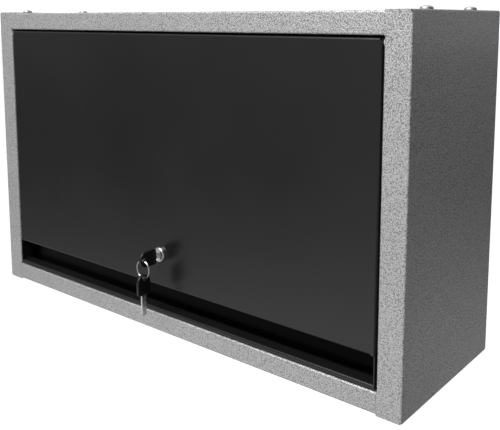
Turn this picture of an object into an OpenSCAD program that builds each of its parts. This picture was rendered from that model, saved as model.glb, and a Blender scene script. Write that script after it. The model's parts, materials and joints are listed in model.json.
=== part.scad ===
// Hanging wall cabinet in folded sheet steel: two sides, a top, a bottom and a back bolted together,
// with an inset lift-up door on side pivot pins, two gas struts and a cam lock with its keys.
// X runs across the front, the front faces -Y, the wall is the plane Y = 0 and Z is up.
// The origin is the centre of the four wall holes, on the wall plane.

/* [Cabinet] */
// Outer width
body_w = 600; // [480:1:900]
// Outer height
body_h = 360; // [300:1:500]
// Outer depth, from the wall to the front
body_d = 190; // [160:1:320]
// Thickness of every folded sheet
sheet = 1; // [0.8:0.1:1.5]
// Bend radius at the middle of the sheet
bend_r = 1.5; // [1:0.1:2.5]

/* [Front frame] */
// Width of the left and right stiles
stile_w = 26; // [20:0.5:40]
// Height of the top and bottom rails
rail_h = 21; // [16:0.5:40]
// How far the stiles and rails turn back round the opening
return_d = 16; // [12:0.5:24]
// Height of the upturned lip that the door closes against
stop_h = 10; // [8:0.5:14]
// Seam between a rail's end and the stile
seam = 0.2; // [0.1:0.05:0.6]
// How far a rail's end tab reaches behind the rail
tab_lap = 10; // [5:1:20]
// How far the rail's end tab stops short of the rail's inner edge
tab_short = 2; // [1:0.5:5]

/* [Panel flanges] */
// Width of the side panels' flanges over the top and under the bottom
flange_w = 20; // [16:0.5:30]
// Width of the side panels' flanges against the wall
wall_flange_w = 30; // [24:0.5:45]
// Height of the top and bottom panels' flanges that trap the back panel
rear_flange_h = 20; // [12:0.5:30]
// Play round the loose panels
panel_play = 0.5; // [0.2:0.1:1]

/* [Wall holes] */
// Radius of the wall holes
wall_hole_r = 4; // [3:0.25:5]
// Distance from the cabinet's side to a wall hole
wall_hole_in = 15; // [12:0.5:20]
// Distance from the cabinet's top or bottom to a wall hole
wall_hole_down = 35; // [20:1:60]

/* [Assembly screws] */
// Shank radius of the assembly screws
screw_r = 3; // [2:0.5:4]
// Radius of the screw's domed head
screw_head_r = 6; // [4.5:0.25:7]
// Height of the domed heads on top
screw_head_h = 3.5; // [2.5:0.25:5]
// Height of the low heads underneath
low_head_h = 1; // [0.8:0.1:2]
// Length of the screw under its head
screw_l = 12; // [9:1:20]
// Radial play of the screw in its holes
screw_play = 0.25; // [0.1:0.05:0.5]
// Distance from the cabinet's side to a screw
screw_in = 7; // [7:0.25:9]
// Distance from the front to the front screws
screw_front = 38; // [25:1:60]
// Distance from the wall to the rear screws
screw_rear = 59; // [30:1:80]
// Width across the nut's flats
nut_af = 10; // [8:0.5:11]
// Height of the nut
nut_h = 5; // [3:0.5:7]
// Width of the cross recess in the screw's head
drive_w = 1.2; // [0.8:0.1:2]
// Length of the cross recess in the screw's head
drive_l = 6; // [4:0.5:8]
// Depth of the cross recess in the screw's head
drive_d = 2; // [1:0.25:2.5]

/* [Door] */
// Gap between the door and the frame on every side
door_gap = 2; // [1.5:0.25:3]
// Depth of the door's flanges behind its face
door_d = 16; // [14:0.5:22]
// Height of the finger recess along the bottom, from the face's edge to the door's bottom
recess_h = 31; // [26:1:45]
// Height of the lip below the recess's floor
lip_h = 4; // [4:0.5:8]
// Gap behind the closed door, which the bumpers fill
stop_gap = 2; // [1.5:0.25:3]
// Radius of the rubber bumpers
bumper_r = 4; // [3:0.25:4.5]
// Distance from the middle to a bumper
bumper_x = 180; // [120:5:200]
// Play between the bumpers and the closed door
bumper_play = 0.1; // [0.05:0.05:0.3]

/* [Hinge] */
// Angle that the door opens to
door_open = 90; // [60:5:90]
// Depth of the pivot axis behind the door's face
pivot_back = 5; // [4.8:0.1:5.2]
// Radius of the pivot pins
pin_r = 2; // [1.5:0.25:2.25]
// Radius of the pin's head inside the door
pin_head_r = 2.8; // [2.6:0.1:3]
// Thickness of the pin's head
pin_head_l = 1.5; // [1:0.25:2]
// Gap between the pin's head and the door's top flange
pin_head_gap = 0.2; // [0.1:0.1:0.7]
// Radial play of the pin in its bush
pin_play = 0.05; // [0.02:0.01:0.1]
// Radius of the bush's sleeve
bush_r = 3; // [2.75:0.05:3.2]
// Radius of the bush's flange
bush_flange_r = 3.6; // [3.4:0.1:4]
// Thickness of the bush's flange
bush_flange_t = 0.8; // [0.5:0.1:1]
// Length of the bush's sleeve from the frame's face
bush_l = 3; // [2:0.25:5]
// Radius of the spring clip on the pin's end
clip_r = 3.6; // [3.4:0.1:3.7]
// Thickness of the spring clip
clip_t = 0.6; // [0.4:0.1:1]
// Gap between the clip and the bush
clip_gap = 0.3; // [0.2:0.1:0.5]
// Length of pin past its clip
pin_tail = 1.5; // [1:0.5:3]

/* [Lock] */
// Height of the lock's axis above the lower edge of the door's face
lock_up = 37; // [30:1:60]
// How far the lock's bezel reaches past the barrel's radius
bezel_lap = 0.6; // [0.4:0.1:3]
// Height of the bezel proud of the door
bezel_h = 4; // [2:0.25:6]
// Chamfer round the bezel
bezel_chamfer = 2; // [0.5:0.1:2.3]
// Radius of the lock's threaded barrel
barrel_r = 7.9; // [7:0.1:9.5]
// Depth of the two flats along the barrel
flat_cut = 0.7; // [0.3:0.1:1]
// Play of the barrel in the door's hole
barrel_play = 0.1; // [0.05:0.05:0.3]
// Width across the lock nut's flats
lock_nut_af = 20; // [18:0.5:24]
// Thickness of the lock nut
lock_nut_t = 3; // [2:0.5:5]
// Wall of the barrel round the turning plug
barrel_wall = 1.9; // [1.5:0.1:2.2]
// Radial play of the plug in the barrel
plug_play = 0.05; // [0.02:0.01:0.1]
// How far the plug sits back from the bezel's front
plug_recess = 0.4; // [0:0.1:1]
// Gap between the key's tip and the end of the keyway
tip_gap = 1.5; // [1:0.25:3]
// Thickness of the plug behind the keyway
plug_end_t = 2; // [1.5:0.25:4]
// Play of the key in the keyway on every side
key_play = 0.1; // [0.05:0.05:0.3]

/* [Cam] */
// Gap between the barrel's end and the cam
cam_gap = 0.5; // [0.3:0.1:1]
// Gap between the stop lip and the cam's arm behind it
cam_clear = 0.5; // [0.3:0.1:1]
// Thickness of the cam
cam_t = 2; // [1.5:0.5:3]
// Width of the cam's arm
cam_w = 16; // [12:0.5:20]
// Radius of the cam's hub
cam_hub_r = 10; // [9:0.5:12]
// How far the locked cam reaches below the stop lip's top
cam_catch = 7; // [4:0.5:9]
// Corner cut at the cam's tip
cam_corner = 4; // [2:0.5:6]
// Side of the plug's square drive
cam_square = 7; // [6:0.5:8]
// Play between the square drive and the cam
cam_play = 0.05; // [0:0.01:0.1]
// Head radius of the cam's screw
cam_screw_head_r = 5.5; // [5.2:0.1:7]
// Head height of the cam's screw
cam_screw_head_h = 2.5; // [1.5:0.25:4]
// Shank radius of the cam's screw
cam_screw_r = 2; // [1.5:0.25:2.5]
// Length of the cam's screw inside the plug
cam_screw_l = 2; // [1:0.25:2]

/* [Keys] */
// Thickness of the key blade
blade_t = 2; // [1.6:0.1:2.4]
// Height of the key blade
blade_h = 6.6; // [5:0.2:8]
// Length of blade past the key's head
blade_l = 23; // [20:0.5:26]
// How far the key's head stands off the bezel when the key is in
key_off = 3; // [2:0.5:5]
// Length of the key's moulded head
head_l = 24; // [20:0.5:28]
// Height of the key's moulded head
head_h = 18; // [14:0.5:22]
// Thickness of the key's moulded head
head_t = 3.5; // [3:0.25:6]
// Corner radius at the blade end of the head
head_corner = 4; // [2:0.5:6]
// Radius of the hole for the ring
ring_hole_r = 2.5; // [2.2:0.1:3]
// Distance from the head's outer end to the hole's centre
ring_hole_in = 5; // [4.5:0.25:8]
// How deep the blade is moulded into the head
blade_in = 10; // [6:0.5:14]
// Radius of the ring at the middle of its wire
ring_r = 9.5; // [9:0.25:12]
// Radius of the ring's wire
wire_r = 0.55; // [0.4:0.05:0.7]
// Distance between the ring's two turns
wire_pitch = 0.9; // [0.7:0.05:1.1]
// How far the ring's wire rests below the hole's centre
ring_drop = 0.8; // [0.5:0.1:1]
// Depths of the cuts along the key blade
bitting = [1.2, 0.6, 1.6, 0.9, 1.3];
// Distance between two cuts
bitting_step = 3; // [2.5:0.1:3.4]

/* [Gas struts] */
// Gap between the door flange's inner face and the strut's tube
strut_gap = 1.5; // [1:0.25:6]
// Distance of the strut's door pivot below the hinge axis
crank_down = 50; // [40:1:80]
// Distance of the strut's door pivot behind the hinge axis
crank_back = 5.5; // [5.25:0.25:6]
// Distance from the wall to the strut's lower pivot
anchor_out = 50; // [40:1:90]
// Distance of the strut's lower pivot below mid-height
anchor_down = 40; // [20:1:90]
// Radius of the strut's tube
tube_r = 7.5; // [6:0.25:8]
// Wall thickness of the strut's tube
tube_wall = 1; // [0.8:0.1:1.5]
// Radius of the strut's rod
rod_r = 3; // [2.5:0.25:4]
// Radial play of the rod in its guide and of the piston in the tube
rod_play = 0.05; // [0.02:0.01:0.1]
// Length of the rod guide
guide_l = 12; // [8:0.5:20]
// Thickness of the tube's closed end
tube_end_t = 3; // [2:0.5:5]
// Bare rod with the door closed
rod_bare = 8; // [4:0.5:15]
// Distance left between the piston and the rod guide with the door fully open
rod_spare = 4; // [2:0.5:10]
// Length of the piston
piston_l = 8; // [5:0.5:10]
// Radius of the end sockets
socket_r = 5; // [4.5:0.25:5.25]
// Thickness of the end sockets
socket_t = 8; // [6:0.5:10]
// Distance from a pivot to the tube or the rod's collar
socket_reach = 12; // [10:0.5:16]
// Radius of the sockets' necks
neck_r = 3.5; // [3:0.25:3.75]
// Radius of the studs that carry the sockets
stud_r = 3; // [2.5:0.25:3.5]
// Play of the lower stud in its socket
stud_play = 0.05; // [0.02:0.01:0.1]
// Radius of the round foot on the door's stud
foot_r = 4.5; // [4:0.25:4.75]
// Thickness of the round foot
foot_t = 1.5; // [1:0.25:2]
// Gap between the foot and the door's flange
foot_gap = 0.3; // [0.2:0.1:0.6]
// Thickness of the bracket's plate
bracket_t = 2; // [1.5:0.25:3]
// Height of the bracket's plate
bracket_h = 44; // [30:1:60]
// Width of the bracket's plate
bracket_w = 26; // [20:1:40]
// Radius of the bracket's post
post_r = 6; // [5:0.5:8]
// Gap between a socket and the shoulder beside it
socket_gap = 1; // [0.5:0.25:2]

/* [Hidden] */
$fn = 48;
bend_steps = 6;                        // flats round each bend
half = sheet / 2;
corner = bend_r + half;                // outer radius of a bend
screw_rows = [-body_d + screw_front, -screw_rear];
open_x = body_w / 2 - stile_w;         // half the opening's width
open_z = body_h / 2 - sheet - rail_h;  // half the opening's height
side_x = body_w / 2 - half;            // middle of the side panel's web
front_y = -body_d + half;              // middle of the front sheets
plate_z = body_h / 2 - sheet - half;   // middle of the top panel's plate
rail_z = open_z + half;                // middle of a rail's return
trap_y = -2 * sheet - half;            // middle of the flanges that trap the back panel
panel_x = body_w / 2 - corner - panel_play;
door_x = open_x - door_gap;            // half the door's width
door_z = open_z - door_gap;            // half the door's height
door_back_y = -body_d + door_d;
face_low_z = -door_z + recess_h;       // lower edge of the door's face
stop_y = door_back_y + stop_gap + half;
stop_top_z = -open_z + stop_h;
pivot_down = sheet + pin_head_r + pin_head_gap;       // depth of the pivot below the door's top edge
pivot = [-body_d + pivot_back, door_z - pivot_down];  // the hinge axis, as [y, z]
lock_z = face_low_z + lock_up;
bezel_r = barrel_r + bezel_lap;
barrel_flat = barrel_r - flat_cut;
plug_r = barrel_r - barrel_wall - plug_play;
plug_front_y = -body_d - bezel_h + plug_recess;
head_back_y = -body_d - bezel_h - key_off;  // the inserted key's head ends here
keyway_end_y = head_back_y + blade_l + tip_gap;
cam_y = keyway_end_y + plug_end_t;          // front of the cam's hub
barrel_end_y = cam_y - cam_gap;
arm_y = stop_y + half + cam_clear;          // front of the cam's arm, which is cranked if it isn't level
cam_l = lock_z - stop_top_z + cam_catch;
hole_y = head_back_y - head_l + ring_hole_in;
ring_top_z = lock_z - ring_drop;
ring_z = ring_top_z - ring_r;
spare_hole_z = ring_z - ring_r - ring_drop;
strut_in = tube_r + strut_gap;         // from the door flange's inner face to the strut's axis
strut_x = door_x - sheet - strut_in;
anchor = [-anchor_out, -anchor_down];
crank = [pivot.x + crank_back, pivot.y - crank_down];
strut_l = norm(crank - anchor);
strut_angle = atan2(crank.y - anchor.y, crank.x - anchor.x);
tube_l = strut_l - 2 * socket_reach - rod_bare;
open_crank = pivot + turned(crank - pivot, -door_open);
rod_inside = norm(open_crank - anchor) - strut_l + piston_l + guide_l + rod_spare;

// ---- Folded sheet: a path along the middle of the sheet, thickened, with every 90 degree bend rounded

function left_of(u) = [-u.y, u.x];
function turned(v, a) = [v.x * cos(a) - v.y * sin(a), v.x * sin(a) + v.y * cos(a)];
function way(path, i) = (path[i + 1] - path[i]) / norm(path[i + 1] - path[i]);
function bend(at, u, v, out) =
    let (s = sign(cross(u, v)))
    [for (k = [0:bend_steps])
        at + bend_r * (v - u) - s * (bend_r - s * out) * turned(left_of(u), s * 90 * k / bend_steps)];
function sheet_side(path, out) =
    let (last = len(path) - 1)
    concat(
        [path[0] + out * left_of(way(path, 0))],
        [for (i = [1:last - 1]) each bend(path[i], way(path, i - 1), way(path, i), out)],
        [path[last] + out * left_of(way(path, last - 1))]
    );
function sheet_outline(path) =
    let (far = sheet_side(path, -half))
    concat(sheet_side(path, half), [for (i = [len(far) - 1:-1:0]) far[i]]);
function arc(at, r, from, to, steps) =
    [for (k = [0:steps]) at + r * [cos(from + (to - from) * k / steps), sin(from + (to - from) * k / steps)]];

module along_x(x0, x1) translate([x0, 0, 0]) rotate([90, 0, 90]) linear_extrude(x1 - x0) children();
module along_y(y0, y1) translate([0, y1, 0]) rotate([90, 0, 0]) linear_extrude(y1 - y0) children();
module box(low, high) translate(low) cube(high - low);
module rod_x(r, x0, x1, y, z) translate([x0, y, z]) rotate([0, 90, 0]) cylinder(r = r, h = x1 - x0);
module rod_y(r, y0, y1, x, z) translate([x, y1, z]) rotate([90, 0, 0]) cylinder(r = r, h = y1 - y0);
module both_sides() { children(); mirror([1, 0, 0]) children(); }

// ---- Carcass

module wall_holes()
    for (z = [-1, 1] * (body_h / 2 - wall_hole_down))
        rod_y(wall_hole_r, -4 * sheet, sheet, body_w / 2 - wall_hole_in, z);

module side_panel() {
    stile_in = open_x + half;
    flat_z = body_h / 2 - corner;
    difference() {
        union() {
            linear_extrude(2 * (open_z - seam), center = true)
                polygon(sheet_outline([[stile_in, -body_d + return_d], [stile_in, front_y],
                                       [stile_in + stile_w / 2, front_y]]));
            linear_extrude(2 * flat_z, center = true)
                polygon(sheet_outline([[stile_in + stile_w / 2, front_y], [side_x, front_y], [side_x, -half],
                                       [body_w / 2 - wall_flange_w, -half]]));
            along_y(-body_d + corner, -corner)
                polygon(sheet_outline([[body_w / 2 - flange_w, body_h / 2 - half],
                                       [side_x, body_h / 2 - half], [side_x, half - body_h / 2],
                                       [body_w / 2 - flange_w, half - body_h / 2]]));
            for (s = [-1, 1])
                mirror([0, 0, s < 0 ? 1 : 0]) {
                    // the stile's end, flat past the return, and the flange from the stile to the wall flange
                    box([open_x, -body_d, open_z + seam], [body_w / 2 - corner, -body_d + sheet, body_h / 2]);
                    box([open_x + corner, -body_d, open_z - corner],
                        [body_w / 2 - corner, -body_d + sheet, body_h / 2]);
                    box([body_w / 2 - flange_w, -body_d, body_h / 2 - sheet],
                        [body_w / 2 - corner, 0, body_h / 2]);
                    box([body_w / 2 - wall_flange_w, -sheet, flat_z - 1], [body_w / 2 - corner, 0, body_h / 2]);
                }
        }
        for (y = screw_rows)
            translate([body_w / 2 - screw_in, y, 0])
                cylinder(r = screw_r + screw_play, h = 2 * body_h, center = true);
        wall_holes();
        rod_x(bush_r, open_x - sheet, open_x + 2 * sheet, pivot.x, pivot.y);
    }
}

module side_panel_right() color([0.62, 0.63, 0.64]) side_panel();
module side_panel_left() color([0.62, 0.63, 0.64]) mirror([1, 0, 0]) side_panel();

// A top panel's plate with its rail between the stiles, and tabs that reach behind the stiles
module cross_panel(rail_end) {
    trap = [[trap_y, plate_z - rear_flange_h], [trap_y, plate_z]];
    difference() {
        union() {
            along_x(-open_x + seam, open_x - seam)
                polygon(sheet_outline(concat(trap, [[front_y, plate_z], [front_y, rail_z]], rail_end)));
            both_sides()
                along_x(open_x - tab_lap, panel_x)
                    polygon(sheet_outline(concat(trap, [[front_y + sheet, plate_z],
                                                        [front_y + sheet, rail_z + tab_short]])));
        }
        both_sides() {
            wall_holes();
            for (y = screw_rows)
                translate([body_w / 2 - screw_in, y, plate_z])
                    cylinder(r = screw_r + screw_play, h = 4 * sheet, center = true);
        }
    }
}

module top_panel() color([0.66, 0.67, 0.68]) cross_panel([[-body_d + return_d, rail_z]]);

// The bottom panel is the top panel turned over, with a lip at the end of its rail's return
module bottom_panel() color([0.58, 0.59, 0.60])
    mirror([0, 0, 1]) cross_panel([[stop_y, rail_z], [stop_y, -stop_top_z]]);

module back_panel() color([0.60, 0.61, 0.62])
    difference() {
        box([-panel_x, -2 * sheet, -plate_z + half + panel_play],
            [panel_x, -sheet, plate_z - half - panel_play]);
        both_sides() wall_holes();
    }

// ---- Assembly screws and nuts

module pan_screw(head_h) {
    rim_h = head_h / 4;
    recess_d = min(drive_d, head_h - rim_h);
    difference() {
        union() {
            rotate_extrude()
                polygon(concat([[0, 0], [screw_head_r, 0]],
                               [for (a = [0:10:90])
                                   [screw_head_r * cos(a), rim_h + (head_h - rim_h) * sin(a)]]));
            translate([0, 0, -screw_l]) cylinder(r = screw_r, h = screw_l + rim_h);
        }
        for (a = [0, 90])
            rotate([0, 0, a + 30])
                translate([0, 0, head_h]) cube([drive_l, drive_w, 2 * recess_d], center = true);
    }
}

module hex_nut() difference() {
    cylinder(r = nut_af / 2 / cos(30), h = nut_h, $fn = 6);
    translate([0, 0, -1]) cylinder(r = screw_r, h = nut_h + 2);
}

module at_screws(z) both_sides() for (y = screw_rows) translate([body_w / 2 - screw_in, y, z]) children();

module top_screws() color("silver") at_screws(body_h / 2) pan_screw(screw_head_h);
module top_nuts() color("silver") at_screws(plate_z - half - nut_h) rotate([0, 0, 30]) hex_nut();
module bottom_screws() color("silver") mirror([0, 0, 1]) at_screws(body_h / 2) pan_screw(low_head_h);
module bottom_nuts() color("silver")
    mirror([0, 0, 1]) at_screws(plate_z - half - nut_h) rotate([0, 0, 30]) hex_nut();

// ---- Door, a pan with a finger recess along its bottom edge

module lock_outline(r, flat) intersection() {
    circle(r = r);
    square([2 * flat, 4 * r], center = true);
}

module door_panel() color([0.13, 0.13, 0.14])
    difference() {
        wall_y = door_back_y - half;
        floor_z = -door_z + lip_h - half;
        shelf_z = face_low_z + half;
        channel = [[wall_y, shelf_z], [wall_y, floor_z], [front_y, floor_z], [front_y, -door_z]];
        union() {
            along_x(-door_x + corner, door_x - corner)
                polygon(sheet_outline(concat([[door_back_y, door_z - half], [front_y, door_z - half],
                                              [front_y, shelf_z]], channel)));
            along_x(-door_x + half, door_x - half)
                polygon(sheet_outline(concat([[front_y + corner, shelf_z]], channel)));
            both_sides() {
                flange_x = door_x - half;
                translate([0, 0, face_low_z])
                    linear_extrude(door_z - corner - face_low_z)
                        polygon(sheet_outline([[flange_x, door_back_y], [flange_x, front_y],
                                               [flange_x - 2 * corner, front_y]]));
                box([door_x - sheet, -body_d, -door_z], [door_x, door_back_y, face_low_z]);
                box([door_x - sheet, -body_d + corner, face_low_z - 1], [door_x, door_back_y, door_z - half]);
            }
        }
        translate([0, -body_d + 2 * sheet, lock_z])
            rotate([90, 0, 0])
                linear_extrude(3 * sheet) lock_outline(barrel_r + barrel_play, barrel_flat + barrel_play);
        both_sides() rod_x(pin_r, door_x - 2 * sheet, door_x + sheet, pivot.x, pivot.y);
    }

module door_bumpers() color([0.08, 0.08, 0.08])
    both_sides()
        rod_y(bumper_r, door_back_y + bumper_play, stop_y - half,
              bumper_x, stop_top_z - bumper_r - bumper_play);

// ---- Hinge

module hinge_pins() color("silver") both_sides() {
    rod_x(pin_head_r, door_x - sheet - pin_head_l, door_x - sheet, pivot.x, pivot.y);
    rod_x(pin_r, door_x - sheet - pin_head_l / 2, open_x + bush_l + clip_gap + clip_t + pin_tail,
          pivot.x, pivot.y);
}

module hinge_bushes() color([0.85, 0.85, 0.82]) both_sides()
    difference() {
        union() {
            rod_x(bush_flange_r, open_x - bush_flange_t, open_x, pivot.x, pivot.y);
            rod_x(bush_r, open_x - bush_flange_t / 2, open_x + bush_l, pivot.x, pivot.y);
        }
        rod_x(pin_r + pin_play, open_x - 2 * bush_flange_t, open_x + 2 * bush_l, pivot.x, pivot.y);
    }

module pin_clips() color("silver") both_sides()
    difference() {
        clip_x = open_x + bush_l + clip_gap;
        rod_x(clip_r, clip_x, clip_x + clip_t, pivot.x, pivot.y);
        rod_x(pin_r, clip_x - 1, clip_x + clip_t + 1, pivot.x, pivot.y);
    }

// ---- Lock, with its cam lying level, which is unlocked

module lock_housing() color([0.80, 0.80, 0.82])
    difference() {
        union() {
            translate([0, -body_d, lock_z])
                rotate([90, 0, 0]) {
                    cylinder(r = bezel_r, h = bezel_h - bezel_chamfer);
                    translate([0, 0, bezel_h - bezel_chamfer])
                        cylinder(r1 = bezel_r, r2 = bezel_r - bezel_chamfer, h = bezel_chamfer);
                }
            translate([0, barrel_end_y, lock_z])
                rotate([90, 0, 0])
                    linear_extrude(body_d + barrel_end_y + bezel_h / 2) lock_outline(barrel_r, barrel_flat);
        }
        rod_y(plug_r + plug_play, -body_d - 2 * bezel_h, barrel_end_y + 1, 0, lock_z);
    }

module lock_nut() color("silver")
    difference() {
        translate([0, -body_d + sheet + lock_nut_t, lock_z])
            rotate([90, 0, 0]) cylinder(r = lock_nut_af / 2 / cos(30), h = lock_nut_t, $fn = 6);
        rod_y(barrel_r, -body_d, -body_d + 4 * lock_nut_t, 0, lock_z);
    }

module lock_plug() color([0.74, 0.74, 0.76])
    difference() {
        union() {
            rod_y(plug_r, plug_front_y, cam_y, 0, lock_z);
            box([-cam_square / 2, cam_y - 1, lock_z - cam_square / 2],
                [cam_square / 2, cam_y + cam_t, lock_z + cam_square / 2]);
        }
        box([-blade_t / 2 - key_play, plug_front_y - 1, lock_z - blade_h / 2 - key_play],
            [blade_t / 2 + key_play, keyway_end_y, lock_z + blade_h / 2 + key_play]);
        rod_y(cam_screw_r, cam_y + cam_t - cam_screw_l, cam_y + cam_t + 1, 0, lock_z);
    }

module cam_slice(y0, y1) along_y(y0, y1) translate([0, lock_z]) children();

module lock_cam() color("silver") {
    knee = cam_hub_r + cam_t;
    arm_half = cam_w / 2;
    cam_slice(cam_y, cam_y + cam_t)
        difference() {
            union() {
                circle(r = cam_hub_r);
                translate([0, -arm_half]) square([knee, cam_w]);
            }
            square(cam_square + 2 * cam_play, center = true);
        }
    cam_slice(min(cam_y, arm_y), max(cam_y, arm_y) + cam_t)
        translate([cam_hub_r, -arm_half]) square([cam_t, cam_w]);
    cam_slice(arm_y, arm_y + cam_t)
        polygon([[cam_hub_r, -arm_half], [cam_l - cam_corner, -arm_half], [cam_l, cam_corner - arm_half],
                 [cam_l, arm_half - cam_corner], [cam_l - cam_corner, arm_half], [cam_hub_r, arm_half]]);
}

module cam_screw() color("silver") {
    rod_y(cam_screw_head_r, cam_y + cam_t, cam_y + cam_t + cam_screw_head_h, 0, lock_z);
    rod_y(cam_screw_r, cam_y + cam_t - cam_screw_l, cam_y + cam_t + cam_screw_head_h / 2, 0, lock_z);
}

// ---- Keys, drawn with the blade along +X from the end of the head at the origin

module blade(play = 0) rotate([90, 0, 0])
    linear_extrude(blade_t + 2 * play, center = true)
        polygon(concat(
            [[-blade_in - play, -blade_h / 2 - play], [-blade_in - play, blade_h / 2 + play],
             [blade_l - blade_h / 4, blade_h / 2 + play], [blade_l, blade_h / 4],
             [blade_l, -blade_h / 4], [blade_l - blade_h / 4, -blade_h / 2 - play]],
            [for (i = [len(bitting) - 1:-1:0])
                let (x = blade_l - blade_h / 2 - bitting_step * (len(bitting) - i - 0.5))
                each [[x + bitting_step / 2, -blade_h / 2 - play], [x, -blade_h / 2 - play + bitting[i]]]]
        ));

module head() difference() {
    r = head_h / 2;
    inset = head_h / 2 - head_corner;
    rotate([90, 0, 0])
        linear_extrude(head_t, center = true)
            polygon(concat(
                arc([r - head_l, 0], r, 90, 270, 24),
                arc([-head_corner, -inset], head_corner, 270, 360, 8),
                arc([-head_corner, inset], head_corner, 0, 90, 8)
            ));
    rotate([90, 0, 0])
        translate([ring_hole_in - head_l, 0, 0]) cylinder(r = ring_hole_r, h = 2 * head_t, center = true);
    box([-blade_in, -blade_t / 2, -blade_h / 2], [1, blade_t / 2, blade_h / 2]);
}

module in_lock() translate([0, head_back_y, lock_z]) rotate([0, 0, 90]) children();
module hung() translate([0, hole_y, spare_hole_z - (head_l - ring_hole_in)])
    rotate([0, 90, 0]) rotate([90, 0, 0]) children();

module key_blade() color("silver") in_lock() blade();
module key_head() color([0.09, 0.09, 0.10]) in_lock() head();
module spare_key_blade() color("silver") hung() blade();
module spare_key_head() color([0.09, 0.09, 0.10]) hung() head();

module key_ring() color("silver")
    translate([0, hole_y, ring_z])
        rotate([90, 0, 0])
            rotate_extrude($fn = 64)
                for (s = [-1, 1]) translate([ring_r, s * wire_pitch / 2]) circle(r = wire_r, $fn = 24);

// ---- Gas struts, drawn for the right side with the door closed

module on_strut(from) translate([strut_x, anchor.x, anchor.y])
    rotate([strut_angle - 90, 0, 0]) translate([0, 0, from]) children();

module socket(bore) difference() {
    union() {
        rod_x(socket_r, -socket_t / 2, socket_t / 2, 0, 0);
        cylinder(r = neck_r, h = socket_reach);
    }
    rod_x(bore, -socket_t, socket_t, 0, 0);
}

module strut_tube() color([0.10, 0.10, 0.11]) on_strut(socket_reach)
    rotate_extrude()
        polygon([[0, 0], [tube_r, 0], [tube_r, tube_l], [rod_r + rod_play, tube_l],
                 [rod_r + rod_play, tube_l - guide_l], [tube_r - tube_wall, tube_l - guide_l],
                 [tube_r - tube_wall, tube_end_t], [0, tube_end_t]]);

module strut_rod() color([0.78, 0.78, 0.80]) on_strut(strut_l - socket_reach - rod_bare - rod_inside)
    rotate_extrude()
        polygon([[0, 0], [tube_r - tube_wall - rod_play, 0], [tube_r - tube_wall - rod_play, piston_l],
                 [rod_r, piston_l], [rod_r, rod_inside + rod_bare], [0, rod_inside + rod_bare]]);

module strut_base_socket() color([0.12, 0.12, 0.13]) on_strut(0) socket(stud_r + stud_play);

module strut_rod_socket() color([0.12, 0.12, 0.13]) on_strut(strut_l) mirror([0, 0, 1]) socket(stud_r);

module strut_stud() color("silver") on_strut(strut_l) {
    rod_x(stud_r, -socket_t / 2 - socket_gap, strut_in - foot_gap - foot_t / 2, 0, 0);
    rod_x(foot_r, strut_in - foot_gap - foot_t, strut_in - foot_gap, 0, 0);
}

module strut_bracket() color([0.60, 0.61, 0.62]) {
    inner_x = body_w / 2 - sheet;
    post_x = strut_x + socket_t / 2 + socket_gap;
    box([inner_x - bracket_t, anchor.x - bracket_w / 2, anchor.y - bracket_h / 2],
        [inner_x, anchor.x + bracket_w / 2, anchor.y + bracket_h / 2]);
    rod_x(post_r, post_x, inner_x - bracket_t / 2, anchor.x, anchor.y);
    rod_x(stud_r, strut_x - socket_t / 2 - socket_gap, post_x + 1, anchor.x, anchor.y);
}

module on_left() mirror([1, 0, 0]) children();

side_panel_left();
side_panel_right();
top_panel();
bottom_panel();
back_panel();
top_screws();
top_nuts();
bottom_screws();
bottom_nuts();
door_panel();
door_bumpers();
hinge_pins();
hinge_bushes();
pin_clips();
lock_housing();
lock_nut();
lock_plug();
lock_cam();
cam_screw();
key_blade();
key_head();
key_ring();
spare_key_blade();
spare_key_head();
on_left() strut_bracket();  // strut_bracket_left
on_left() strut_tube();  // strut_tube_left
on_left() strut_base_socket();  // strut_base_socket_left
on_left() strut_rod();  // strut_rod_left
on_left() strut_rod_socket();  // strut_rod_socket_left
on_left() strut_stud();  // strut_stud_left
strut_bracket();  // strut_bracket_right
strut_tube();  // strut_tube_right
strut_base_socket();  // strut_base_socket_right
strut_rod();  // strut_rod_right
strut_rod_socket();  // strut_rod_socket_right
strut_stud();  // strut_stud_right
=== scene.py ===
"""Looks for the hanging wall cabinet: paint, plating, keys, camera and studio round the CAD frame."""

import json
import math

import bmesh
import bpy
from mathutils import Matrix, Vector


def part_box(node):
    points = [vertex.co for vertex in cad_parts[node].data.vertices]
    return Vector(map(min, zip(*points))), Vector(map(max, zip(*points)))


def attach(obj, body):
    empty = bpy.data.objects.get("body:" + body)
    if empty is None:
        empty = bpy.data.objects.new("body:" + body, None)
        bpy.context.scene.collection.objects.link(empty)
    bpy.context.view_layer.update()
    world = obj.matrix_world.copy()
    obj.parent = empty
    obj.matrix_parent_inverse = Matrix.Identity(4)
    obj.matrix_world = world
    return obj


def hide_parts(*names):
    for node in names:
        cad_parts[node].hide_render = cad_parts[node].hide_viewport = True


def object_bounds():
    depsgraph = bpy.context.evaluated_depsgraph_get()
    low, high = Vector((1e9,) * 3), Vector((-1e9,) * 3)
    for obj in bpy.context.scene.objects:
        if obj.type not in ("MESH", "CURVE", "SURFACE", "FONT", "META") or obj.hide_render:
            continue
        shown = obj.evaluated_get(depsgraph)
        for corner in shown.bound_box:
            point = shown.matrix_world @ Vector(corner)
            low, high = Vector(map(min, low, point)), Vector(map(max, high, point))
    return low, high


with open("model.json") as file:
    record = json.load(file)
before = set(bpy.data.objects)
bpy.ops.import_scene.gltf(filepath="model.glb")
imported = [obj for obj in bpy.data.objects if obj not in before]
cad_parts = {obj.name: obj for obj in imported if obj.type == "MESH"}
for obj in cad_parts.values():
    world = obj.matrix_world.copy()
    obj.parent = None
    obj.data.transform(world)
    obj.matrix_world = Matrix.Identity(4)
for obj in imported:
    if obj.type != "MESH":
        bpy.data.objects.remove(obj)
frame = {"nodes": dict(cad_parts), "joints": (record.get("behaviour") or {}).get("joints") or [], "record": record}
NODES = frame["nodes"]
CAD_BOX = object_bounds()
MM = 0.001


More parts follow.
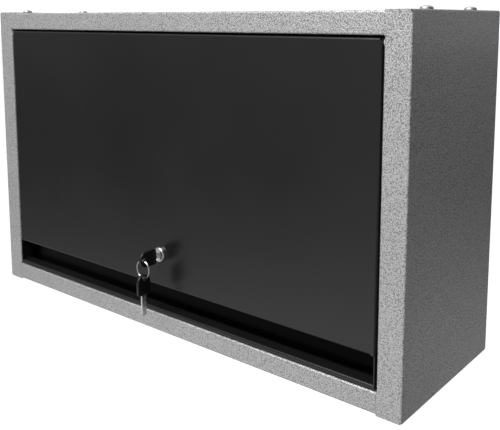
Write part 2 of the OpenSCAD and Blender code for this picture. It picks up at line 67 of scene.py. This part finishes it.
# ---- Shader building blocks

def node_adder(tree):
    """A helper that adds a node to tree, with its settings, and links sources into its sockets."""
    def add(kind, links=(), **settings):
        node = tree.nodes.new(kind)
        for key, value in settings.items():
            if hasattr(node, key):
                setattr(node, key, value)
            else:
                node.inputs[key.replace("_", " ")].default_value = value
        for socket, source in dict(links).items():
            tree.links.new(source, node.inputs[socket])
        return node

    return add


def new_material(name):
    """A material with an empty node tree, its Principled shader and a helper that adds nodes."""
    mat = bpy.data.materials.new(name)
    mat.use_nodes = True
    tree = mat.node_tree
    tree.nodes.clear()
    out = tree.nodes.new("ShaderNodeOutputMaterial")
    shader = tree.nodes.new("ShaderNodeBsdfPrincipled")
    tree.links.new(shader.outputs["BSDF"], out.inputs["Surface"])
    return mat, tree, shader, node_adder(tree)


def ramp(add, source, stops):
    """A colour ramp from source through (position, grey or colour) stops."""
    node = add("ShaderNodeValToRGB", {"Fac": source})
    elements = node.color_ramp.elements
    while len(elements) < len(stops):
        elements.new(0.5)
    for element, (at, value) in zip(elements, stops):
        element.position = at
        element.color = (*value, 1) if hasattr(value, "__len__") else (value, value, value, 1)
    return node.outputs["Color"]


def object_noise(add, scale, detail=2.0, roughness=0.5, stretch=None):
    """Noise in the object's own metres: about scale cells a metre, times stretch along each axis."""
    place = add("ShaderNodeTexCoord").outputs["Object"]
    if stretch:
        mapping = add("ShaderNodeMapping", {"Vector": place})
        mapping.inputs["Scale"].default_value = stretch
        place = mapping.outputs["Vector"]
    noise = add("ShaderNodeTexNoise", {"Vector": place},
                Scale=scale, Detail=detail, Roughness=roughness)
    return noise.outputs["Fac"]


def bump(add, tree, shader, height, depth, strength=1.0):
    """Relief of the given depth in metres on the shader."""
    node = add("ShaderNodeBump", {"Height": height}, Strength=strength, Distance=depth)
    tree.links.new(node.outputs["Normal"], shader.inputs["Normal"])


# ---- Materials

ISLANDS = 820           # hammertone islands a metre


def hammertone():
    """Silver-grey hammertone paint: small smooth islands of flake with darker creases between them."""
    mat, tree, shader, add = new_material("grey_hammertone")
    place = add("ShaderNodeTexCoord").outputs["Object"]
    wander = add("ShaderNodeTexNoise", {"Vector": place}, Scale=ISLANDS * 0.8, Detail=1.0)
    offset = add("ShaderNodeVectorMath", {0: wander.outputs["Color"]}, operation="SCALE")
    offset.inputs["Scale"].default_value = 0.9 / ISLANDS
    moved = add("ShaderNodeVectorMath", {0: place, 1: offset.outputs[0]}, operation="ADD")
    cells = add("ShaderNodeTexVoronoi", {"Vector": moved.outputs[0]}, feature="SMOOTH_F1",
                Scale=ISLANDS, Smoothness=0.35)
    creases = cells.outputs["Distance"]
    island = ramp(add, creases, [(0.18, 1.0), (0.62, 0.0)])
    cloud = object_noise(add, 7, detail=3)
    shade = ramp(add, creases, [(0.16, 0.70), (0.42, 0.61), (0.60, 0.41), (0.75, 0.28)])
    drift = ramp(add, cloud, [(0.3, 0.93), (0.7, 1.0)])
    tint = add("ShaderNodeMix", data_type="RGBA", blend_type="MULTIPLY")
    tint.inputs["Factor"].default_value = 1
    tree.links.new(shade, tint.inputs["A"])
    tree.links.new(drift, tint.inputs["B"])
    tree.links.new(tint.outputs["Result"], shader.inputs["Base Color"])
    tree.links.new(ramp(add, creases, [(0.2, 0.30), (0.6, 0.42)]), shader.inputs["Roughness"])
    shader.inputs["Metallic"].default_value = 0.38
    shader.inputs["Coat Weight"].default_value = 0.40
    shader.inputs["Coat Roughness"].default_value = 0.18
    bump(add, tree, shader, island, 0.30 * MM, 0.55)
    return mat


def black_powder_coat():
    """Smooth satin black, with faint orange peel and hardly visible clouding. The back of the finger
    recess is painted shade: a near-black metallic that reflects next to nothing."""
    mat, tree, shader, add = new_material("black_powder_coat")
    peel = object_noise(add, 700, detail=1.0)
    cloud = object_noise(add, 5, detail=4)
    openings = {o["name"]: o["box_m"] for o in frame["record"]["physics"]["openings"]}
    recess = openings["finger_recess"]
    place = add("ShaderNodeSeparateXYZ", {"Vector": add("ShaderNodeTexCoord").outputs["Object"]})

    def beyond(axis, start, end):
        """0 at start and 1 from end on, in metres along an axis of the object."""
        spread = add("ShaderNodeMapRange", {"Value": place.outputs[axis]})
        spread.inputs["From Min"].default_value = start
        spread.inputs["From Max"].default_value = end
        return spread.outputs["Result"]

    # Painted shade: behind the finger recess's back face and below its top, the paint is made near black and
    # metallic, so it reflects next to nothing and reads as a shadowed hollow.
    depth = beyond("Y", recess[1][1] + 0.3 * MM, recess[1][1] + 1.0 * MM)
    below = beyond("Z", recess[1][2] + 0.8 * MM, recess[1][2])
    recess_painted_shade = add("ShaderNodeMath", {0: depth, 1: below}, operation="MULTIPLY").outputs[0]
    black = ramp(add, cloud, [(0.3, 0.0095), (0.7, 0.0125)])
    # Painted shade: the recess mask blends the paint towards 0.003 black.
    colour = add("ShaderNodeMix", {"Factor": recess_painted_shade, "A": black}, data_type="RGBA")
    colour.inputs["B"].default_value = (0.003, 0.003, 0.003, 1)
    tree.links.new(colour.outputs["Result"], shader.inputs["Base Color"])
    tree.links.new(recess_painted_shade, shader.inputs["Metallic"])
    tree.links.new(ramp(add, cloud, [(0.3, 0.24), (0.7, 0.30)]), shader.inputs["Roughness"])
    bump(add, tree, shader, peel, 0.04 * MM, 0.2)
    return mat


def plated(name, colour, roughness, brushed=0.0):
    """Bright plated steel with faint grain and slight changes of tone."""
    mat, tree, shader, add = new_material(name)
    grain = object_noise(add, 900, detail=3, stretch=(0.2, 1, 1) if brushed else None)
    tone = object_noise(add, 160, detail=3)
    low = [c * 0.86 for c in colour]
    tree.links.new(ramp(add, tone, [(0.3, low), (0.7, colour)]), shader.inputs["Base Color"])
    tree.links.new(ramp(add, grain, [(0.3, roughness * 0.7), (0.7, roughness * 1.4)]),
                   shader.inputs["Roughness"])
    shader.inputs["Metallic"].default_value = 1
    bump(add, tree, shader, grain, 0.02 * MM, 0.3 + brushed)
    return mat


def moulded(name, colour, roughness, pit=0.06):
    """Moulded plastic or rubber with a fine pebbled skin."""
    mat, tree, shader, add = new_material(name)
    skin = object_noise(add, 1500, detail=2)
    tone = object_noise(add, 90, detail=3)
    low = [c * 0.8 for c in colour]
    tree.links.new(ramp(add, tone, [(0.3, low), (0.7, colour)]), shader.inputs["Base Color"])
    tree.links.new(ramp(add, skin, [(0.3, roughness * 0.85), (0.7, min(1, roughness * 1.15))]),
                   shader.inputs["Roughness"])
    bump(add, tree, shader, skin, pit * MM, 0.4)
    return mat


MATERIALS = {
    "grey_hammertone": hammertone(),
    "black_powder_coat": black_powder_coat(),
    "zinc": plated("zinc", (0.80, 0.80, 0.78), 0.40),
    "chrome": plated("chrome", (0.90, 0.90, 0.90), 0.24),
    "nickel": plated("nickel", (0.93, 0.91, 0.88), 0.27),
    "rod_chrome": plated("rod_chrome", (0.75, 0.75, 0.76), 0.08, brushed=0.1),
    "key_plastic": moulded("key_plastic", (0.014, 0.014, 0.015), 0.30),
    "socket_plastic": moulded("socket_plastic", (0.025, 0.025, 0.026), 0.45),
    "nylon": moulded("nylon", (0.72, 0.71, 0.66), 0.45),
    "rubber": moulded("rubber", (0.018, 0.018, 0.018), 0.75),
    "black_tube": moulded("black_tube", (0.012, 0.012, 0.013), 0.22, pit=0.01),
}


def paint(obj, slot):
    """The slot's material, alone, on an object."""
    obj.data.materials.clear()
    obj.data.materials.append(MATERIALS[slot])


for part in frame["record"]["subparts"]:
    paint(NODES[part["node"]], part["material_slot"])


# ---- Mesh pieces

def make_piece(name, vertices, faces, body, slot, replaced=(), smooth_angle=40):
    """A closed mesh in metres that rides on body, wears slot's material and stands for the replaced
    nodes. Edges that turn less than smooth_angle degrees are shaded smooth."""
    mesh = bpy.data.meshes.new(name)
    mesh.from_pydata([tuple(v) for v in vertices], [], faces)
    work = bmesh.new()
    work.from_mesh(mesh)
    bmesh.ops.remove_doubles(work, verts=work.verts, dist=1e-7)
    loose = [edge for edge in work.edges if not edge.link_faces]
    bmesh.ops.delete(work, geom=loose, context="EDGES")
    bmesh.ops.recalc_face_normals(work, faces=work.faces)
    for edge in work.edges:
        edge.smooth = len(edge.link_faces) == 2 and edge.calc_face_angle(0) < math.radians(smooth_angle)
    for face in work.faces:
        face.smooth = True
    work.to_mesh(mesh)
    work.free()
    obj = bpy.data.objects.new(name, mesh)
    bpy.context.scene.collection.objects.link(obj)
    paint(obj, slot)
    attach(obj, body)
    if replaced:
        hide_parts(*replaced)


def rings_to_faces(count, around, closed=False):
    """Quads between count rings of around vertices each, the last joined to the first if closed."""
    return [(i * around + j, i * around + (j + 1) % around,
             (i + 1) % count * around + (j + 1) % around, (i + 1) % count * around + j)
            for i in range(count if closed else count - 1) for j in range(around)]


def lathe(profile, start, axis, around=64, flats=None):
    """Vertices and faces of a closed profile of (radius, distance) in mm, turned about axis from start.
    flats is (half width along X, radius within which they cut), in mm, for a shape with two flats."""
    axis = Vector(axis).normalized()
    across = Vector((1, 0, 0)) if flats else axis.orthogonal().normalized()
    up = axis.cross(across)
    vertices = []
    for radius, distance in profile:
        for j in range(around):
            turn = 2 * math.pi * j / around
            side = radius * math.cos(turn)
            if flats and radius < flats[1]:
                side = max(-flats[0], min(flats[0], side))
            point = axis * distance + across * side + up * radius * math.sin(turn)
            vertices.append(Vector(start) + MM * point)
    return vertices, rings_to_faces(len(profile), around, closed=True)


def arc_points(centre, radius, start, end, steps, squash=1.0):
    """Points of an arc in degrees; squash scales it along the second coordinate."""
    return [(centre[0] + radius * math.cos(math.radians(start + (end - start) * k / steps)),
             centre[1] + squash * radius * math.sin(math.radians(start + (end - start) * k / steps)))
            for k in range(steps + 1)]


# ---- Lock

def lock_housing():
    """Cam lock body: a domed bezel on a threaded barrel with two flats."""
    low, high = (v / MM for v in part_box("lock_housing"))
    centre = (0, low.y * MM, (low.z + high.z) / 2 * MM)
    length = high.y - low.y
    bezel_r = (high.x - low.x) / 2
    door_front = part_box("door_panel")[0].y / MM - low.y
    bore_r, barrel_r = 6.0, 7.9
    flats = (7.2, 8.0)      # half width, and the radius within which they cut
    pitch, thread, run_out, chamfer = 1.25, 0.45, 1.0, 0.6
    dome_r, dome_h = 1.9, 2.6
    rim, bore_edge = 0.3, 0.35
    profile = [(bore_r, bore_edge), (bore_r + bore_edge, 0.0)]
    profile += arc_points((bezel_r - dome_r, dome_h), dome_r, -90, 0, 8, squash=dome_h / dome_r)
    profile += [(bezel_r, door_front - rim), (bezel_r - rim, door_front), (barrel_r, door_front)]
    turn = door_front + run_out
    while turn + pitch < length - chamfer:
        profile += [(barrel_r, turn), (barrel_r - thread, turn + pitch / 2)]
        turn += pitch
    profile += [(barrel_r, turn), (barrel_r, length - chamfer),
                (barrel_r - chamfer, length), (bore_r, length)]
    make_piece("lock_body", *lathe(profile, centre, (0, 1, 0), flats=flats),
               "door", "chrome", ["lock_housing"], smooth_angle=50)


# ---- Keys and ring

HEAD_L, HEAD_H, HEAD_T, HEAD_CORNER = 24, 18, 3.5, 4    # mm, like all sizes of the keys
HOLE_IN, HOLE_R = 5, 2.5                                # from the head's far end to the hole's centre
EDGE_R = 1.2                                            # rounding of the head's moulded edges
BLADE_L, BLADE_H, BLADE_T, BLADE_ROOT = 23, 6.6, 2, 3   # the root is sunk in the head
BITTING = [1.2, 0.6, 1.6, 0.9, 1.3]                     # depth of each cut
BITTING_STEP = 3


def head_outline(inset):
    """The key head's outline in (along, up), drawn in by inset; the blade points along +."""
    half = HEAD_H / 2
    level = half - HEAD_CORNER
    return (arc_points((half - HEAD_L, 0), half - inset, 90, 270, 32)
            + arc_points((-HEAD_CORNER, -level), HEAD_CORNER - inset, 270, 360, 8)
            + arc_points((-HEAD_CORNER, level), HEAD_CORNER - inset, 0, 90, 8))


def key_pieces(prefix, body, place):
    """A moulded key head with rounded edges and a blade with milled grooves. place turns
    (along, up, across) in mm into metres in the model's frame."""
    flat = HEAD_T / 2 - EDGE_R
    rounding = [(EDGE_R * (1 - math.cos(math.radians(a))), flat + EDGE_R * math.sin(math.radians(a)))
                for a in range(0, 91, 15)]
    layers = [(inset, -height) for inset, height in reversed(rounding)] + rounding
    outer = [[(x, y, height) for x, y in head_outline(inset)] for inset, height in layers]
    around = len(outer[0])
    hole_at = HOLE_IN - HEAD_L
    lip = 0.4                                       # bevel of the hole's two mouths
    hole = [[(hole_at + r * math.cos(2 * math.pi * j / around + math.pi / 2),
              r * math.sin(2 * math.pi * j / around + math.pi / 2), height) for j in range(around)]
            for r, height in [(HOLE_R + lip, HEAD_T / 2), (HOLE_R, HEAD_T / 2 - lip),
                              (HOLE_R, lip - HEAD_T / 2), (HOLE_R + lip, -HEAD_T / 2)]]
    rings = outer + hole
    faces = rings_to_faces(len(rings), around, closed=True)
    make_piece(prefix + "_head_moulded", [place(*v) for ring in rings for v in ring], faces,
               body, "key_plastic", [prefix + "_head"], smooth_angle=35)

    notch_end = BLADE_L - BLADE_H / 2
    stations = [(-BLADE_ROOT, -BLADE_H / 2, BLADE_H / 2)]
    for i, cut in enumerate(BITTING):
        middle = notch_end - BITTING_STEP * (len(BITTING) - i - 0.5)
        stations += [(middle - BITTING_STEP / 2, -BLADE_H / 2, BLADE_H / 2),
                     (middle, cut - BLADE_H / 2, BLADE_H / 2)]
    stations += [(notch_end, -BLADE_H / 2, BLADE_H / 2),
                 (BLADE_L - BLADE_H / 4, -BLADE_H / 2, BLADE_H / 2),
                 (BLADE_L, -BLADE_H / 4, BLADE_H / 4)]
    grooves = [(-1, 0.2, 1.5), (1, -1.0, 0.3)]      # side, lower and upper edge of each milled groove
    depth, slope, margin = 0.55, 0.15, 0.1          # groove's depth and side slope, metal beside it
    sections = []
    for along, low, high in stations:
        section = []
        for side, groove_low, groove_high in grooves:
            face = side * BLADE_T / 2
            floor = side * (BLADE_T / 2 - depth)
            bends = (groove_low, groove_low + slope, groove_high - slope, groove_high)
            heights = [low, *(max(low + margin, min(high - margin, h)) for h in bends), high]
            edge = [(along, h, d) for h, d in zip(heights, (face, face, floor, floor, face, face))]
            section += edge if side < 0 else edge[::-1]
        sections.append(section)
    around = len(sections[0])
    faces = rings_to_faces(len(sections), around)
    last = (len(sections) - 1) * around
    faces += [tuple(range(around)), tuple(range(last + around - 1, last - 1, -1))]
    make_piece(prefix + "_blade_milled", [place(*v) for section in sections for v in section], faces,
               body, "nickel", [prefix + "_blade"], smooth_angle=20)


def keys():
    """The key in the lock and the spare that hangs from the ring."""
    low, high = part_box("key_head")
    lock_z = (low.z + high.z) / 2
    key_pieces("key", "key",
               lambda along, up, across: (-across * MM, high.y + along * MM, lock_z + up * MM))
    low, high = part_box("spare_key_head")
    hole_y = (low.y + high.y) / 2
    key_pieces("spare_key", "spare_key",
               lambda along, up, across: (across * MM, hole_y - up * MM, low.z - along * MM))


def key_ring():
    """A split ring: two turns of wire side by side, with a crossover and both ends cut."""
    low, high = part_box("key_ring")
    middle = (low + high) / 2
    wire = 0.00055          # radius of the wire
    ring_r = (high.z - low.z) / 2 - wire
    apart = (high.y - low.y) / 2 - wire
    turns, steps, sides = 2, 72, 12
    ends_apart = 5          # steps that the wire falls short of its full turns
    crossover = 0.12        # share of a turn over which the wire crosses to its neighbour
    start = math.radians(200)
    path, total = [], turns * steps - ends_apart
    for i in range(total + 1):
        share = i / total * turns
        slip = max(-1.0, min(1.0, (share - turns / 2) / crossover))
        angle = start + 2 * math.pi * i / steps
        path.append((angle, math.sin(slip * math.pi / 2) * apart))
    vertices = []
    for angle, along in path:
        out = Vector((math.cos(angle), 0, math.sin(angle)))
        spot = middle + out * ring_r + Vector((0, along, 0))
        for j in range(sides):
            turn = 2 * math.pi * j / sides
            vertices.append(spot + wire * (out * math.cos(turn) + Vector((0, math.sin(turn), 0))))
    faces = rings_to_faces(len(path), sides)
    last = (len(path) - 1) * sides
    faces += [tuple(range(sides)), tuple(range(last + sides - 1, last - 1, -1))]
    make_piece("split_ring", vertices, faces, "ring", "nickel", ["key_ring"])


# ---- Gas struts

def strut_tubes():
    """Gas strut tubes with a crimped base, two rolled grooves and a rolled mouth round the rod's seal."""
    joints = {j["name"]: j for j in frame["joints"]}
    for side in ("left", "right"):
        foot = Vector(joints[side + "_strut_swing"]["pos_m"])
        axis = Vector(joints[side + "_strut_extend"]["axis"]).normalized()
        tube = NODES["strut_tube_" + side]
        reach = [(v.co - foot).dot(axis) / MM for v in tube.data.vertices]
        near, far = min(reach), max(reach)
        tube_r, rod_r, wall = 7.5, 3.05, 1.0

        # (radius, distance from where the feature lies), in mm
        crimp = [(0, 0), (5.6, 0), (6.6, 0.4), (7.2, 1.3), (tube_r, 2.6)]
        groove = [(tube_r, -1.6), (7.3, -0.9), (6.95, 0), (7.3, 0.9), (tube_r, 1.6)]
        mouth = [(tube_r, -1.8), (7.2, -0.7), (6.4, 0), (rod_r + 0.6, 0), (rod_r, -0.6),
                 (rod_r, -12), (tube_r - wall, -12)]
        bottom = [(tube_r - wall, 3), (0, 3)]
        profile = []
        for shape, at in [(crimp, near), (groove, far - 13), (groove, far - 5),
                          (mouth, far), (bottom, near)]:
            profile += [(radius, at + distance) for radius, distance in shape]
        make_piece("gas_tube_" + side, *lathe(profile, foot, axis, around=48), side + "_strut",
                   "black_tube", ["strut_tube_" + side], smooth_angle=50)


def soften(nodes, width, segments=2):
    """A small rounding, width in mm, on the edges of carried-over CAD nodes."""
    for node in nodes:
        bevel = NODES[node].modifiers.new("rounding", "BEVEL")
        bevel.width = width * MM
        bevel.segments = segments
        bevel.limit_method = "ANGLE"
        bevel.angle_limit = math.radians(40)


# ---- Camera, light and floor

def aim_camera():
    """Above and to the right of the cabinet, looking across its front."""
    data = bpy.data.cameras.new("camera")
    data.sensor_width = 36
    data.lens = 52.15
    data.shift_x = -0.011
    data.shift_y = -0.20
    camera = bpy.data.objects.new("camera", data)
    bpy.context.scene.collection.objects.link(camera)
    camera.location = (0.5728, -0.7277, 0.1717)
    camera.rotation_euler = (math.radians(90 - 7.57), 0, math.radians(39.08))
    bpy.context.scene.camera = camera


def panel_light(name, size, place, target, power):
    """A soft rectangular light at place, facing target, power in watts."""
    data = bpy.data.lights.new(name, "AREA")
    data.shape = "RECTANGLE"
    data.size, data.size_y = size
    data.energy = power
    lamp = bpy.data.objects.new(name, data)
    bpy.context.scene.collection.objects.link(lamp)
    lamp.location = place
    lamp.rotation_euler = (Vector(target) - Vector(place)).to_track_quat("-Z", "Y").to_euler()


def studio_world():
    """White to the camera. Its light and reflections are a soft studio, dim at eye level and to the
    right, with a band of glow from below."""
    world = bpy.data.worlds.new("studio")
    world.use_nodes = True
    bpy.context.scene.world = world
    tree = world.node_tree
    tree.nodes.clear()
    add = node_adder(tree)
    direction = add("ShaderNodeTexCoord").outputs["Generated"]
    axes = add("ShaderNodeSeparateXYZ", {"Vector": direction})

    def by_axis(axis, stops):
        """A ramp over a direction's component, given as (component from -1 to 1, value)."""
        spread = add("ShaderNodeMapRange", {"Value": axes.outputs[axis]})
        spread.inputs["From Min"].default_value = -1
        return ramp(add, spread.outputs["Result"], [((at + 1) / 2, value) for at, value in stops])

    height = by_axis("Z", [(-1, 0.08), (-0.62, 0.55), (-0.45, 1.0), (-0.22, 0.09),
                           (-0.02, 0.29), (0.3, 0.42), (1, 0.80)])
    side = by_axis("X", [(-1, 0.42), (-0.72, 0.72), (-0.42, 1.0), (0.0, 0.78),
                         (0.5, 0.17), (1, 0.12)])
    light = add("ShaderNodeMix", data_type="RGBA", blend_type="MULTIPLY")
    light.inputs["Factor"].default_value = 1
    tree.links.new(height, light.inputs["A"])
    tree.links.new(side, light.inputs["B"])
    from_camera = add("ShaderNodeLightPath").outputs["Is Camera Ray"]
    seen = add("ShaderNodeMix", {"Factor": from_camera}, data_type="RGBA")
    tree.links.new(light.outputs["Result"], seen.inputs["A"])
    seen.inputs["B"].default_value = (1, 1, 1, 1)
    sky = add("ShaderNodeBackground", {"Color": seen.outputs["Result"]})
    sky.inputs["Strength"].default_value = 1.3
    tree.links.new(sky.outputs["Background"], add("ShaderNodeOutputWorld").inputs["Surface"])


def studio():
    """A wide pale floor below the hanging cabinet, the studio's world and its three soft lights."""
    drop, reach = 1.1, 60           # metres under the cabinet, and to each side
    floor_z = CAD_BOX[0].z - drop
    mesh = bpy.data.meshes.new("floor")
    mesh.from_pydata([(-reach, -reach, floor_z), (reach, -reach, floor_z),
                      (reach, reach, floor_z), (-reach, reach, floor_z)], [], [(0, 1, 2, 3)])
    floor = bpy.data.objects.new("floor", mesh)
    floor.visible_diffuse = floor.visible_glossy = False
    bpy.context.scene.collection.objects.link(floor)
    mat, tree, shader, add = new_material("pale_floor")
    tree.links.new(ramp(add, object_noise(add, 0.6, detail=3), [(0.3, 0.88), (0.7, 0.92)]),
                   shader.inputs["Base Color"])
    shader.inputs["Roughness"].default_value = 0.9
    shader.inputs["Emission Color"].default_value = (1, 1, 1, 1)
    shader.inputs["Emission Strength"].default_value = 0.6
    mesh.materials.append(mat)

    studio_world()
    panel_light("key", (1.2, 1.2), (-0.1, -1.5, 1.5), (0, -0.1, 0), 40)
    panel_light("glint", (0.5, 0.7), (1.3, -1.6, -0.1), (0, -0.2, -0.1), 2.4)
    panel_light("rim", (1.0, 0.7), (1.5, 2.1, 0.4), (0.3, -0.1, 0.1), 1.1)
    bpy.context.scene.view_settings.view_transform = "Standard"
    bpy.context.scene.view_settings.look = "None"


# ---- Make the scene

lock_housing()
keys()
key_ring()
strut_tubes()
soften(["lock_plug", "hinge_bushes"], 0.2)
soften(["lock_nut", "lock_cam", "cam_screw", "top_nuts", "bottom_nuts", "hinge_pins", "door_bumpers",
        "strut_bracket_left", "strut_bracket_right", "strut_stud_left", "strut_stud_right"], 0.4)
soften(["strut_base_socket_left", "strut_base_socket_right", "strut_rod_socket_left",
        "strut_rod_socket_right"], 0.6, 3)
aim_camera()
studio()
